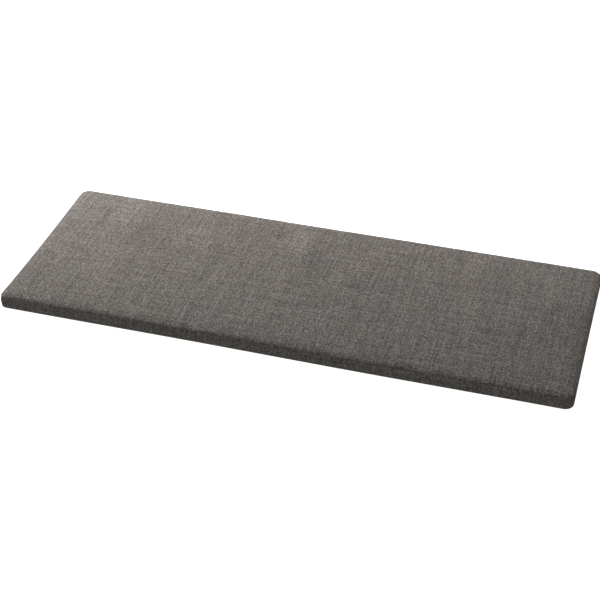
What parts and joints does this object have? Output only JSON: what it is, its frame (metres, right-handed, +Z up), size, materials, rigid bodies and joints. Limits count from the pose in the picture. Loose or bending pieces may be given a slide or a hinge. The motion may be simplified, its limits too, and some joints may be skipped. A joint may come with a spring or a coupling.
{
  "type": "bench cushion",
  "caption": "Long, thin, box-shaped bench cushion in a plain woven cover, with a rolled top edge, a soft crown and a side strip sewn between top and bottom panels.",
  "frame": {"origin": "middle of the flat underside, on the surface that the cushion lies on", "axes": "+X along the length, -Y out of the front, +Z up through the thickness"},
  "size_m": [1.1997, 0.451, 0.0355],
  "materials": {
    "cover_cloth": "matt melange plain weave, linen look",
    "side_cloth": "the same matt melange plain weave, cut as a strip"
  },
  "bodies": {
    "root": {"cushion": "cover_cloth", "boxing": "side_cloth"}
  },
  "joints": []
}
